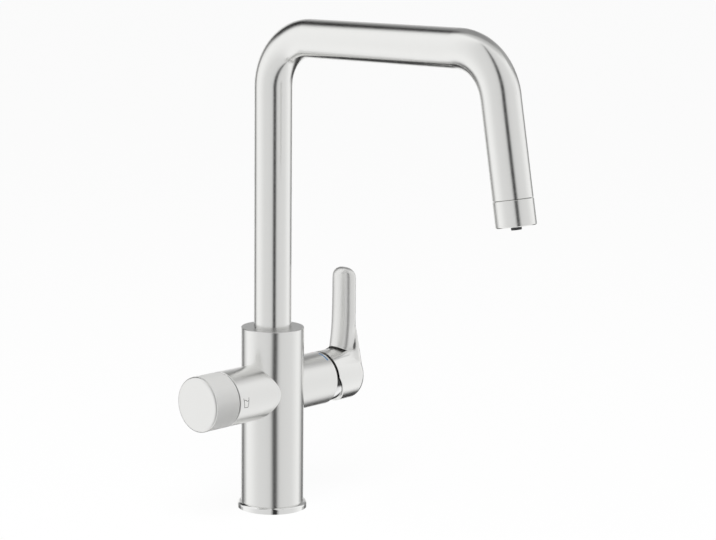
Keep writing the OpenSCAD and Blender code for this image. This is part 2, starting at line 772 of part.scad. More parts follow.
// side of the flare: it leaves the cap at a tangent and ends on the crease
function flare_side(x, z) =
    let (r = cap_at(min(x, cap_reach - 0.05)), top = crease_z(x),
         h = bar_side(x, top), rise = top - handle_z,
         touch = atan2(h, rise) + acos(min(1, r / norm([h, rise]))),
         touch_z = handle_z + r * cos(touch))
    z > top ? 0
    : z > touch_z ? r * sin(touch) - (z - touch_z) / tan(touch)
    : sqrt(max(r * r - pow(z - handle_z, 2), 0));
function inside_cap(z) = sink * clamp01((arm_foot - 5 - z) / 6);
function side_y(x, z) = max(bar_side(x, z), flare_side(x, z)) - inside_cap(z);
// the crease lies on this line of points, so that it stays sharp
function crease_x(z) =
    crease_from + (crease_to - crease_from) * clamp01((z - crease_low) / crease_climb);
front_steps = 6;
side_steps = 5;
back_steps = 11;
function half_section(z) =
    let (r = max(min(arm_round, bar_half(z) - 0.3), 0.2), x0 = front_x(z), xb = back_x(z),
         bend_at = max(min(crease_x(z), xb - 0.4), x0 + r + 0.1))
    concat(
        [for (i = [0:front_steps - 1]) let (a = 180 - 90 * i / front_steps)
            [x0 + r + r * cos(a), bar_half(z) - r + r * sin(a) - inside_cap(z)]],
        [for (i = [0:side_steps - 1]) let (x = x0 + r + (bend_at - x0 - r) * i / side_steps)
            [x, bar_side(x, z) - inside_cap(z)]],
        [for (i = [0:back_steps]) let (x = bend_at + (xb - bend_at) * sin(90 * i / back_steps))
            [x, side_y(x, z)]]
    );
function section(z) =
    let (half = half_section(z), n = len(half))
    concat([for (i = [0:n - 1]) [half[i][0], -half[i][1], z]],
           [for (i = [n - 1:-1:0]) [half[i][0], half[i][1], z]]);
tip_levels = [for (i = [5:-1:0]) arm_top - tip_round + (tip_round - 0.02) * sin(90 * i / 5)];
bar_levels = [for (i = [1:7]) arm_top - tip_round - (arm_top - tip_round - flare_top) * i / 7];
foot_levels = [for (i = [1:12]) flare_top - (flare_top - crease_low) * i / 12];
root_z = handle_z + cap_r * cos(74);
root_levels = [for (i = [1:7]) crease_low - (crease_low - root_z) * i / 7];
arm_levels = concat(tip_levels, bar_levels, foot_levels, root_levels);

module arm() {
    rows = [for (z = arm_levels) section(z)];
    n = len(rows[0]);
    m = len(rows);
    polyhedron(
        points = [for (row = rows) each row],
        faces = concat(
            [[for (j = [n - 1:-1:0]) j]],
            [[for (j = [0:n - 1]) (m - 1) * n + j]],
            [for (i = [0:m - 2]) for (j = [0:n - 1]) let (k = (j + 1) % n, a = i * n, b = a + n)
                each [[a + j, a + k, b + j], [a + k, b + k, b + j]]]
        )
    );
}

module lever() {
    color(steel) difference() {
        union() {
            mixer_axis() rotate_extrude() {
                translate([0, cap_start]) square([cap_r, cap_reach - cap_round - cap_start]);
                translate([0, cap_start]) square([cap_r - cap_round, cap_reach - cap_start]);
                translate([cap_r - cap_round, cap_reach - cap_round]) circle(r = cap_round);
            }
            // the arm, with a shadow groove between its foot and the cap
            difference() {
                arm();
                difference() {
                    mixer_axis() pipe(cap_r + foot_groove, cap_r - 2, cap_start, crease_from);
                    translate([arm_front - foot_sweep + foot_groove, foot_groove - foot_half, 0])
                        cube([arm_t + foot_sweep, 2 * (foot_half - foot_groove), arm_top]);
                }
            }
        }
        // hollow of the cap, round the boss that holds the stem
        mixer_axis() pipe(cap_in_r, lever_boss_r, cap_start - 1, cap_floor);
        mixer_axis() rod(lever_boss_r + 1, cap_start - 1, lever_boss_at);
        // thinner lip, which swings over the dome
        mixer_axis() pipe(cap_lip_r, lever_boss_r, cap_start - 1, cap_step);
        // slanted cut that lets the lever tilt
        translate([cap_start, 0, handle_z + cut_above]) rotate([0, -cut_slant, 0])
            translate([-cap_d, -cap_r - 1, -2 * cap_d]) cube([cap_d, cap_d + 2, 2 * cap_d]);
        // square hole for the stem
        mixer_axis(lever_boss_at - 1) linear_extrude(stem_out + 0.2 - lever_boss_at + 1)
            square(stem_square + 2 * seat_gap, center = true);
        // grub screw thread and its way in from below
        translate([grub_x, 0, handle_z - cap_r - 1])
            cylinder(r = grub_r + seat_gap, h = cap_r + 1 - stem_square / 2);
    }
}

module lever_grub_screw() {
    color(steel) translate([grub_x, 0, handle_z - stem_square / 2 - seat_gap]) rotate([180, 0, 0])
        grub_screw(grub_r, grub_l, grub_r - 0.8, 0.8, 2.5);
}

module filter_headpart() {
    color(brass) filter_axis() difference() {
        union() {
            // collar, waist round which the water leaves, and thread
            rod(headpart_r, headpart_start, headpart_start + 2);
            rod(headpart_r - 1, headpart_start, hex_at);
            rod(headpart_r, window_x + 3.5, hex_at);
            translate([0, 0, hex_at + seat_gap])
                cylinder(r = headpart_r + 3.4, h = hex_h - seat_gap, $fn = 6);
            rod(headpart_r - 0.5, hex_at - eps, hex_at + 1);
            rod(neck_r, hex_out - eps, neck_out);
        }
        rod(spindle_r + running_gap, headpart_start - 1, neck_out + 1);
        rod(chamber_r, headpart_start - 1, headpart_start + chamber_l);
        for (a = [0:90:270]) rotate([0, 0, a]) translate([0, 0, window_x]) rotate([0, 90, 0])
            cylinder(r = 1.8, h = headpart_r + 1);
    }
}

module headpart_seal() {
    color(rubber) filter_axis()
        pipe(headpart_r - 0.4, chamber_r - 2, filter_floor + seat_gap, headpart_start - seat_gap);
}

module filter_fixed_disc() {
    color(ceramic) filter_axis(filter_fixed_at) difference() {
        rod(chamber_r - seat_gap, 0, filter_disc_h);
        for (side = [1, -1]) translate([0, side * 4.2, 0]) rod(2, -1, filter_disc_h + 1);
    }
}

module filter_turning_disc() {
    color(ceramic) filter_axis(filter_turning_at) difference() {
        rod(chamber_r - 0.1, 0, filter_disc_h);
        for (side = [1, -1]) translate([side * 4.2, 0, 0]) rod(2, -1, filter_disc_h + 1);
    }
}

module filter_spindle() {
    color(brass) filter_axis() difference() {
        union() {
            rod(spindle_r + 1.2, spindle_at, spindle_at + spindle_flange_h);
            rod(spindle_r, spindle_at, neck_out + 0.1);
            cut_spline(spline_r, neck_out, spline_out);
        }
        for (x = [hex_at + 1, hex_at + 4]) pipe(spindle_r + 1, spindle_r - 1.3, x - 0.8, x + 0.8);
        pipe(spindle_r + 1, spline_r - 0.6, clip_at, clip_at + 1.1);
    }
}

// Round bar with small teeth all round, as on a valve spindle
module cut_spline(r, from, to) {
    rod(r - 0.5, from, to);
    for (i = [0:15]) rotate([0, 0, i * 22.5])
        translate([r - 0.9, -0.35, from]) cube([0.9, 0.7, to - from]);
}

module spindle_o_rings() {
    color(rubber) filter_axis() for (x = [hex_at + 1, hex_at + 4]) o_ring(spindle_r - 0.65, x, 0.6);
}

module spindle_clip() {
    color(steel) filter_axis(clip_at + seat_gap) difference() {
        rod(spindle_r + 1.6, 0, 1);
        rod(spline_r - 0.55, -1, 2);
        translate([0, -1.5, -1]) cube([spindle_r + 3, 3, 3]);
    }
}

module knob_adapter() {
    color(plastic_white) filter_axis() difference() {
        rod(adapter_r, adapter_at, adapter_out);
        rod(spline_r + 0.1, adapter_at - 1, spline_out + 0.5);
    }
}

module filter_knob() {
    color(steel) difference() {
        filter_axis() rotate_extrude() difference() {
            union() {
                polygon([
                    [0, knob_start], [knob_r - edge_chamfer, knob_start],
                    [knob_r, knob_start + edge_chamfer],
                    [knob_r, knob_reach - knob_round], [0, knob_reach - knob_round]
                ]);
                translate([0, knob_start]) square([knob_r - knob_round, knob_reach - knob_start]);
                translate([knob_r - knob_round, knob_reach - knob_round]) circle(r = knob_round);
            }
            // hollow round the boss, and the boss's bore
            translate([adapter_r + 2.5, knob_start - 1])
                square([knob_r - knob_wall - adapter_r - 2.5, knob_floor - knob_start + 1]);
            translate([0, knob_start - 1]) square([knob_r - knob_wall, adapter_at - knob_start + 1]);
            translate([0, knob_start - 1]) square([adapter_r + seat_gap, knob_floor - knob_start + 1]);
        }
        translate([-knob_grub_x, 0, handle_z - knob_r - 1])
            cylinder(r = 2 + seat_gap, h = knob_r + 1 - adapter_r);
    }
}

module knob_grub_screw() {
    color(steel) translate([-knob_grub_x, 0, handle_z - adapter_r - seat_gap]) rotate([180, 0, 0])
        grub_screw(2, 4, 1.4, 0.6, 2);
}

body();
base_ring();
base_gasket();
mounting_shank();
inlet_block();
inlet_seals();
spout_stop_screw();
cold_mark();
hot_mark();
spout_tube();
spout_stub();
stub_o_rings();
slide_ring();
filtered_water_tube();
outlet_adapter();
outlet_collar();
aerator_seal();
aerator_insert();
filtered_nozzle();
cartridge_base();
cartridge_seals();
cartridge_shell();
cartridge_nut();
dome_ring();
fixed_disc();
sliding_disc();
disc_carrier();
cartridge_turret();
pivot_pin();
lever_stem();
lever();
lever_grub_screw();
filter_headpart();
headpart_seal();
filter_fixed_disc();
filter_turning_disc();
filter_spindle();
spindle_o_rings();
spindle_clip();
knob_adapter();
filter_knob();
knob_grub_screw();
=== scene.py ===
# %% [markdown]
# A kitchen mixer tap that also pours filtered water.
# The tap has a round steel body, a U-shaped swivel spout on top, a mixing lever on the right
# barrel and a plain round knob for filtered water on the left barrel.
# The solid model is already exact, so this lesson is mostly about finish: how brushed steel,
# polished steel, brass, rubber and plastic are told apart by gloss, grain and colour.
# Three pieces are made here: the lever, whose arm is rounder than the solid one, the shank
# with its thread, and the small sign of a glass.

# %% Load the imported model
import json
import math

import bmesh
import bpy
from mathutils import Matrix, Vector


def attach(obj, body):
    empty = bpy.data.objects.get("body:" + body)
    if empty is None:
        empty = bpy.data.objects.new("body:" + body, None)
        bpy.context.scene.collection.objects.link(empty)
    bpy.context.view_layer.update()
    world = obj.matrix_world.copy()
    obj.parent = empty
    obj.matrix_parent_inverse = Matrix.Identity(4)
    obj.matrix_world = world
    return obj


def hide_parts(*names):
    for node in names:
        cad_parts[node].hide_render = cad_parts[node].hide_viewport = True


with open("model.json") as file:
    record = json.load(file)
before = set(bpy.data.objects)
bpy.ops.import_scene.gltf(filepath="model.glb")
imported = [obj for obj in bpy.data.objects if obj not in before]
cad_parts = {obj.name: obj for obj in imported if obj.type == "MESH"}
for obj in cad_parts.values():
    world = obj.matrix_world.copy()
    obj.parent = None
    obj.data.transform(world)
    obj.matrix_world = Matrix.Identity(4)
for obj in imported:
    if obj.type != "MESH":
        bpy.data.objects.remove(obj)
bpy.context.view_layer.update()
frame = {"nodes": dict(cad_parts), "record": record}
nodes = frame["nodes"]
MM = 0.001

# %% [markdown]
# The photograph looks at the tap from the front left, a little above the spout, through a
# long lens. The camera is pitched down at the middle of the tap, and a small shift keeps
# the body left of the middle of the frame, where the photograph has it.

# %% Camera
camera_place = Vector((-1.1300, -1.1085, 0.4536))
camera_aim = Vector((0.0073, -0.0075, 0.2118))
camera_roll = math.radians(-0.235)

camera_data = bpy.data.cameras.new("photo_camera")
camera_data.lens = 109.07
camera_data.shift_x = 0.099
camera_data.shift_y = -0.06
camera_data.clip_start = 0.05
camera_data.clip_end = 50
camera = bpy.data.objects.new("photo_camera", camera_data)
bpy.context.scene.collection.objects.link(camera)
look = (camera_aim - camera_place).to_track_quat("-Z", "Y").to_matrix()
rolled = look @ Matrix.Rotation(-camera_roll, 3, "Z")
camera.matrix_world = Matrix.Translation(camera_place) @ rolled.to_4x4()
bpy.context.scene.camera = camera
bpy.context.scene.view_settings.view_transform = "Standard"
print("camera", [round(v, 3) for v in camera_place])

# %% [markdown]
# The world and every material are small networks of nodes. Four helpers keep them short to
# read: one adds a node, one does a sum, one compares a direction with a fixed one, and one
# turns a number into a grey.

# %% Node helpers


def add(tree, kind, label="", **settings):
    """A node in a tree, with its settings."""
    node = tree.nodes.new(kind)
    node.label = label
    for name, value in settings.items():
        setattr(node, name, value)
    return node


def math_node(tree, operation, a, b=None, label=""):
    """A Math node fed by numbers or sockets. It returns the result's socket."""
    node = add(tree, "ShaderNodeMath", label, operation=operation)
    for socket, value in zip(node.inputs, (a, b)):
        if isinstance(value, (int, float)):
            socket.default_value = value
        elif value is not None:
            tree.links.new(value, socket)
    return node.outputs[0]


def dot_node(tree, vector, direction, label=""):
    """Dot product of a vector socket and a fixed direction."""
    node = add(tree, "ShaderNodeVectorMath", label, operation="DOT_PRODUCT")
    tree.links.new(vector, node.inputs[0])
    node.inputs[1].default_value = direction
    return node.outputs["Value"]


def ramp_node(tree, value, stops, label=""):
    """A grey ramp from (position, brightness) pairs."""
    node = add(tree, "ShaderNodeValToRGB", label)
    ramp = node.color_ramp
    ramp.interpolation = "EASE"
    while len(ramp.elements) < len(stops):
        ramp.elements.new(0.5)
    for element, (position, grey) in zip(ramp.elements, stops):
        element.position = position
        element.color = (grey, grey, grey, 1)
    tree.links.new(value, node.inputs[0])
    return node.outputs["Color"]


print("node helpers:", add.__name__, math_node.__name__, dot_node.__name__, ramp_node.__name__)

# %% [markdown]
# Steel shows its surroundings more than its own colour. A photographer stands such a tap in
# front of a white card with darkness round it. The card keeps the outline light, the darkness
# draws a thin line just inside it, and a narrow dark strip near the camera draws the line
# down the middle of each tube. The world does the same here. Only reflections see it, and the
# camera sees plain white.

# %% Directions in the room
photo_azimuth = math.radians(-45.675)
strip_turn = -9.5


def room_way(sideways, height):
    """The direction straight behind the tap, turned to the right and raised, in degrees."""
    turn = photo_azimuth - math.radians(sideways)
    level = math.cos(math.radians(height))
    return Vector((-math.sin(turn) * level, math.cos(turn) * level, math.sin(math.radians(height))))


strip_way = -room_way(strip_turn, 0)
strip_side = room_way(strip_turn + 90, 0)
print("strip in front, at", [round(v, 2) for v in strip_way])

# %% [markdown]
# Each part of that studio is one ramp. It takes how far a direction lies from a fixed one, and
# gives how bright the room is there. The parts are then multiplied, or the brighter one counts.

# %% World with a white card and soft flags
world = bpy.data.worlds.new("white_room")
bpy.context.scene.world = world
world.use_nodes = True
tree = world.node_tree
tree.nodes.clear()
toward = add(tree, "ShaderNodeTexCoord").outputs["Generated"]
across = math_node(tree, "ARCTAN2", dot_node(tree, toward, strip_side), dot_node(tree, toward, strip_way))
turn = math_node(tree, "DIVIDE", math_node(tree, "ABSOLUTE", across), math.pi, "share of a half turn")
by_turn = [(0, 0.03), (0.03, 0.05), (0.055, 0.45), (0.085, 0.74), (0.3, 0.78), (0.6, 1)]
strip = ramp_node(tree, turn, by_turn, "strip in front")
from_middle = dot_node(tree, toward, room_way(-3, 0))
by_angle = [(69, 1), (63, 0.6), (57, 0.1), (51, 0.03), (38, 0.03), (33, 0.25), (28, 0.85), (22, 1)]
by_cosine = [(math.cos(math.radians(angle)), grey) for angle, grey in by_angle]
rim = ramp_node(tree, from_middle, by_cosine, "card and its dark rim")
narrow_rim = ramp_node(tree, from_middle, [(0.52, 1), (0.68, 0.3)], "the rim is narrower at eye level")
steepness = math_node(tree, "ABSOLUTE", dot_node(tree, toward, (0, 0, 1)))
level = ramp_node(tree, steepness, [(0, 1), (0.2, 0.85), (0.4, 0)], "eye level")
eye_level = math_node(tree, "MULTIPLY", level, narrow_rim)
toward_right = dot_node(tree, toward, room_way(27, 42))
upper_right = ramp_node(tree, toward_right, [(0.78, 0), (0.92, 0.68)], "paler at the upper right")
card = math_node(tree, "MAXIMUM", rim, math_node(tree, "MAXIMUM", eye_level, upper_right))
toward_ceiling = dot_node(tree, toward, room_way(15, 45))
ceiling = ramp_node(tree, toward_ceiling, [(0.72, 1), (0.85, 0.62), (1, 0.42)], "dim ceiling")
room = math_node(tree, "MULTIPLY", math_node(tree, "MULTIPLY", strip, card), ceiling)
print("studio:", len(tree.nodes), "nodes")

# %% [markdown]
# What a ray finds out there depends on the ray. The camera finds plain white, steel finds the
# studio, and dull pieces get an even, weak light, to which the lamp adds the rest.

# %% What each kind of ray sees
even_light = 0.25
rays = add(tree, "ShaderNodeLightPath").outputs
seen = add(tree, "ShaderNodeBackground", "seen by camera and glass")
mirrored = add(tree, "ShaderNodeBackground", "seen in steel")
tree.links.new(room, mirrored.inputs["Color"])
lighting = add(tree, "ShaderNodeBackground", "light on dull pieces")
seen.inputs["Color"].default_value = (1, 1, 1, 1)
lighting.inputs["Color"].default_value = (1, 1, 1, 1)
lighting.inputs["Strength"].default_value = even_light
dull_or_steel = add(tree, "ShaderNodeMixShader")
tree.links.new(rays["Is Glossy Ray"], dull_or_steel.inputs["Fac"])
tree.links.new(lighting.outputs[0], dull_or_steel.inputs[1])
tree.links.new(mirrored.outputs[0], dull_or_steel.inputs[2])
plain_white = math_node(tree, "MAXIMUM", rays["Is Camera Ray"], rays["Is Transmission Ray"])
all_rays = add(tree, "ShaderNodeMixShader")
tree.links.new(plain_white, all_rays.inputs["Fac"])
tree.links.new(dull_or_steel.outputs[0], all_rays.inputs[1])
tree.links.new(seen.outputs[0], all_rays.inputs[2])
tree.links.new(all_rays.outputs[0], add(tree, "ShaderNodeOutputWorld").inputs["Surface"])
print("world:", len(tree.nodes), "nodes")

# %% [markdown]
# The worktop is one pale sheet. It is almost white to the camera, and the rest of it is an
# ordinary matt surface, so that it still keeps a faint shadow of the tap. It doesn't mirror in the steel,
# because the photograph's steel shows only the white room.

# %% Floor
floor_half = 40.0
camera_white = 0.95
floor_mesh = bpy.data.meshes.new("worktop")
sheet = bmesh.new()
bmesh.ops.create_grid(sheet, x_segments=1, y_segments=1, size=floor_half)
sheet.to_mesh(floor_mesh)
sheet.free()
floor = bpy.data.objects.new("worktop", floor_mesh)
bpy.context.scene.collection.objects.link(floor)
floor.visible_glossy = False

floor_material = bpy.data.materials.new("worktop")
floor_material.use_nodes = True
tree = floor_material.node_tree
tree.nodes.clear()
matt = add(tree, "ShaderNodeBsdfDiffuse")
matt.inputs["Color"].default_value = (0.9, 0.9, 0.9, 1)
white = add(tree, "ShaderNodeEmission")
white.inputs["Color"].default_value = (1, 1, 1, 1)
share = math_node(tree, "MULTIPLY", add(tree, "ShaderNodeLightPath").outputs["Is Camera Ray"], camera_white)
blend = add(tree, "ShaderNodeMixShader")
tree.links.new(share, blend.inputs["Fac"])
tree.links.new(matt.outputs[0], blend.inputs[1])
tree.links.new(white.outputs[0], blend.inputs[2])
tree.links.new(blend.outputs[0], add(tree, "ShaderNodeOutputMaterial").inputs["Surface"])
floor_mesh.materials.append(floor_material)
print("worktop:", 2 * floor_half, "m across")

# %% [markdown]
# One large soft lamp hangs above the front left. Steel doesn't mirror it, so it only lights
# the dull pieces and gives the worktop its shadow.

# %% Lamp
lamp_data = bpy.data.lights.new("soft_box", "AREA")
lamp_data.shape = "DISK"
lamp_data.size = 1.4
lamp_data.energy = 40
lamp = bpy.data.objects.new("soft_box", lamp_data)
lamp.location = (-0.7, -0.6, 1.75)
lamp.rotation_mode = "QUATERNION"
lamp.rotation_quaternion = (Vector((0, 0, 0.15)) - lamp.location).to_track_quat("-Z", "Y")
lamp.visible_glossy = False
bpy.context.scene.collection.objects.link(lamp)
print("lamp:", lamp_data.energy, "W")

# %% [markdown]
# Brushing leaves thousands of fine parallel scratches. On a turned piece they run round it,
# so the height of the surface changes quickly along the piece and slowly round it. A noise
# that is squeezed along the piece gives that. It is one node group, which every brushed
# material places with its own line width.

# %% Brushed lines


def new_group(name, inputs, outputs):
    """An empty shader group with named number and vector sockets."""
    group = bpy.data.node_groups.new(name, "ShaderNodeTree")
    for title, kind in inputs:
        group.interface.new_socket(title, in_out="INPUT", socket_type=kind)
    for title, kind in outputs:
        group.interface.new_socket(title, in_out="OUTPUT", socket_type=kind)
    return group, group.nodes.new("NodeGroupInput").outputs, group.nodes.new("NodeGroupOutput").inputs


NUMBER = "NodeSocketFloat"
VECTOR = "NodeSocketVector"


def noise_lines(tree, vector, along, per_metre, round_scale, detail):
    """Noise that changes quickly along a piece and slowly round it."""
    node = add(tree, "ShaderNodeTexNoise", noise_dimensions="4D")
    node.inputs["Detail"].default_value = detail
    node.inputs["Scale"].default_value = 1
    stretched = add(tree, "ShaderNodeVectorMath", operation="SCALE")
    tree.links.new(vector, stretched.inputs[0])
    stretched.inputs["Scale"].default_value = round_scale
    tree.links.new(stretched.outputs[0], node.inputs["Vector"])
    tree.links.new(math_node(tree, "MULTIPLY", along, per_metre), node.inputs["W"])
    return node.outputs["Fac"]


brushing, given, made = new_group("brushed_lines", [("Place", VECTOR), ("Along", NUMBER)],
                                  [("Height", NUMBER), ("Tone", NUMBER)])
place = given["Place"]
along = given["Along"]
fine = noise_lines(brushing, place, along, per_metre=2200, round_scale=60, detail=2)
broad = noise_lines(brushing, place, along, per_metre=500, round_scale=25, detail=2)
fine_part = math_node(brushing, "MULTIPLY", fine, 0.7)
broad_part = math_node(brushing, "MULTIPLY", broad, 0.3)
both = math_node(brushing, "ADD", fine_part, broad_part)
brushing.links.new(both, made["Height"])
brushing.links.new(broad, made["Tone"])
print("group", brushing.name, len(brushing.nodes), "nodes")

# %% [markdown]
# The distance along a turned piece is its height plus its radius. That one sum makes rings
# on the sides, on the chamfers and on the flat ends alike. A Mapping node first lays the
# axis of the piece on Z.

# %% Distance along turned pieces


def coordinates_of(tree, vector):
    """The X, Y and Z of a vector socket."""
    node = add(tree, "ShaderNodeSeparateXYZ")
    tree.links.new(vector, node.inputs[0])
    return node.outputs


turned, given, made = new_group("along_turned_piece", [("Place", VECTOR)],
                                [("Along", NUMBER), ("Radius", NUMBER)])
parts = coordinates_of(turned, given["Place"])
x_squared = math_node(turned, "MULTIPLY", parts["X"], parts["X"])
y_squared = math_node(turned, "MULTIPLY", parts["Y"], parts["Y"])
radius = math_node(turned, "SQRT", math_node(turned, "ADD", x_squared, y_squared))
turned.links.new(math_node(turned, "ADD", radius, parts["Z"]), made["Along"])
turned.links.new(radius, made["Radius"])
print("group", turned.name, len(turned.nodes), "nodes")

# %% [markdown]
# The spout is brushed round its tube as well, bends included. The distance along it is
# worked out from the place: height on the riser, turning angle in a bend, reach on the
# level run. Which of them counts is picked by comparing the place with the bends' centres.

# %% Distance along the spout
bend_radius = 37 * MM
riser_top = 315.5 * MM
far_bend = -175 * MM
leg_lean = math.radians(10)


def mix_numbers(tree, factor, a, b):
    """The number a where factor is 0, and b where it is 1."""
    node = add(tree, "ShaderNodeMix", data_type="FLOAT")
    for name, value in (("Factor", factor), ("A", a), ("B", b)):
        if isinstance(value, (int, float)):
            node.inputs[name].default_value = value
        else:
            tree.links.new(value, node.inputs[name])
    return node.outputs["Result"]


spout_way, given, made = new_group("along_spout", [("Place", VECTOR)], [("Along", NUMBER)])
parts = coordinates_of(spout_way, given["Place"])
place_y = parts["Y"]
above = math_node(spout_way, "SUBTRACT", parts["Z"], riser_top)
near_angle = math_node(spout_way, "ARCTAN2", above, math_node(spout_way, "ADD", place_y, bend_radius))
near_way = math_node(spout_way, "MULTIPLY", near_angle, bend_radius)
far_reach = math_node(spout_way, "SUBTRACT", far_bend, place_y)
far_angle = math_node(spout_way, "ARCTAN2", above, far_reach)
far_way = math_node(spout_way, "MULTIPLY", far_angle, bend_radius)
in_near = math_node(spout_way, "GREATER_THAN", place_y, -bend_radius)
in_far = math_node(spout_way, "LESS_THAN", place_y, far_bend)
over = math_node(spout_way, "GREATER_THAN", above, 0)
riser_or_bend = mix_numbers(spout_way, over, above, near_way)
round_far = math_node(spout_way, "GREATER_THAN", far_angle, leg_lean)
leg_or_bend = mix_numbers(spout_way, round_far, above, far_way)
run_or_near = mix_numbers(spout_way, in_near, place_y, riser_or_bend)
spout_way.links.new(mix_numbers(spout_way, in_far, run_or_near, leg_or_bend), made["Along"])
print("group", spout_way.name, len(spout_way.nodes), "nodes")

# %% [markdown]
# Moulded plastic, rubber and fired ceramic have no direction, only a fine even grain and a
# few broad, faint patches where they were handled. This group gives both, and each dull
# material says how coarse its grain is.

# %% Moulded grain
grain, given, made = new_group("moulded_grain", [("Place", VECTOR), ("Grains per metre", NUMBER)],
                               [("Height", NUMBER), ("Patches", NUMBER)])
fine = add(grain, "ShaderNodeTexNoise")
fine.inputs["Detail"].default_value = 3
grain.links.new(given["Place"], fine.inputs["Vector"])
grain.links.new(given["Grains per metre"], fine.inputs["Scale"])
broad = add(grain, "ShaderNodeTexNoise")
broad.inputs["Scale"].default_value = 90
broad.inputs["Detail"].default_value = 2
grain.links.new(given["Place"], broad.inputs["Vector"])
grain.links.new(fine.outputs["Fac"], made["Height"])
grain.links.new(broad.outputs["Fac"], made["Patches"])
print("group", grain.name, len(grain.nodes), "nodes")

# %% [markdown]
# Every finish starts from the same recipe: a Principled shader, the place on the piece, and
# the groups above. These helpers set that up, and spread a pattern over a range of numbers
# or between two colours.

# %% Finish helpers


def finish(name, colour, roughness, metal=0.0):
    """A new material with a plain Principled shader. It returns the material and the shader."""
    material = bpy.data.materials.new(name)
    material.use_nodes = True
    shader = material.node_tree.nodes["Principled BSDF"]
    shader.inputs["Base Color"].default_value = (*colour, 1)
    shader.inputs["Roughness"].default_value = roughness
    shader.inputs["Metallic"].default_value = metal
    return material, shader


def place_on(tree, centre=(0, 0, 0), turn=(0, 0, 0)):
    """The place on the piece in metres, with the piece's own axis laid on Z."""
    coordinates = add(tree, "ShaderNodeTexCoord")
    mapping = add(tree, "ShaderNodeMapping", vector_type="TEXTURE")
    mapping.inputs["Location"].default_value = centre
    mapping.inputs["Rotation"].default_value = turn
    tree.links.new(coordinates.outputs["Object"], mapping.inputs["Vector"])
    return mapping.outputs["Vector"]


def use_group(tree, group, **values):
    """A group placed in a tree, its inputs fed by sockets or numbers."""
    node = add(tree, "ShaderNodeGroup", node_tree=group)
    for title, value in values.items():
        socket = node.inputs[title.replace("_", " ")]
        if isinstance(value, (int, float)):
            socket.default_value = value
        else:
            tree.links.new(value, socket)
    return node.outputs


def between(tree, value, low, high, start=0.0, end=1.0, label=""):
    """A number from start to end, spread over low to high."""
    node = add(tree, "ShaderNodeMapRange", label)
    tree.links.new(value, node.inputs["Value"])
    for title, number in (("From Min", start), ("From Max", end), ("To Min", low), ("To Max", high)):
        node.inputs[title].default_value = number
    return node.outputs["Result"]


def blend_colours(tree, factor, first, second):
    """One colour where factor is 0, and the other where it is 1."""
    node = add(tree, "ShaderNodeMix", data_type="RGBA")
    node.inputs["A"].default_value = (*first, 1)
    node.inputs["B"].default_value = (*second, 1)
    tree.links.new(factor, node.inputs["Factor"])
    return node.outputs["Result"]


STEEL = (0.86, 0.86, 0.845)
ON_X = (0, math.radians(90), 0)
handle_height = 90.2 * MM
handle_centre = (0, 0, handle_height)
print("handles:", handle_height, "m above the worktop")

# %% [markdown]
# Brushing does three things to steel: it scratches the surface, it lets the gloss vary a
# little from line to line, and it makes some lines a touch paler. On a large, clean surface
# the scratches alone may be enough.

# %% Brushing helpers
BRUSH_DEPTH = 0.000003
LINE_TINT = 0.03
GLOSS_SPREAD = 0.05


def bump(tree, shader, height, depth):
    """Bumps of a depth in metres on a shader."""
    node = add(tree, "ShaderNodeBump")
    node.inputs["Distance"].default_value = depth
    tree.links.new(height, node.inputs["Height"])
    tree.links.new(node.outputs["Normal"], shader.inputs["Normal"])


def scratch(tree, shader, place, along, depth=BRUSH_DEPTH):
    """Brushed lines as bumps alone. It returns the pattern's outputs."""
    lines = use_group(tree, brushing, Place=place, Along=along)
    bump(tree, shader, lines["Height"], depth)
    return lines


def tint_lines(tree, shader, lines, tint=LINE_TINT):
    """Some of the lines darker than the shader's colour, and some paler."""
    colour = shader.inputs["Base Color"].default_value[:3]
    dark = [value * (1 - tint) for value in colour]
    pale = [min(1, value * (1 + tint)) for value in colour]
    tree.links.new(blend_colours(tree, lines["Height"], dark, pale), shader.inputs["Base Color"])


def brush(tree, shader, place, along, roughness, depth=BRUSH_DEPTH, tint=LINE_TINT):
    """Brushed lines that move the bump, the roughness and a little of the colour."""
    lines = scratch(tree, shader, place, along, depth)
    gloss = between(tree, lines["Tone"], roughness - GLOSS_SPREAD, roughness + GLOSS_SPREAD)
    tree.links.new(gloss, shader.inputs["Roughness"])
    tint_lines(tree, shader, lines, tint)


def dress(name, material):
    """A node of the solid model gets one material."""
    nodes[name].data.materials.clear()
    nodes[name].data.materials.append(material)
    print(name + ":", material.name)


print("brushed", BRUSH_DEPTH, "m deep")

# %% [markdown]
# The spout is the largest surface. It takes the lines that follow its own path.

# %% Spout steel
spout_rough = 0.2
spout_steel, shader = finish("spout_steel", STEEL, spout_rough, 1.0)
tree = spout_steel.node_tree
place = place_on(tree)
along = use_group(tree, spout_way, Place=place)["Along"]
brush(tree, shader, place, along, spout_rough)
dress("spout_tube", spout_steel)

# %% [markdown]
# The body is one casting, but it was brushed three times: once round the column and once
# round each barrel. Both barrels lie on one axis, so two sets of lines are enough, and the
# distance from the column's axis says which of them counts. The flat top of the column was
# faced off, not brushed, so it is duller and darker.

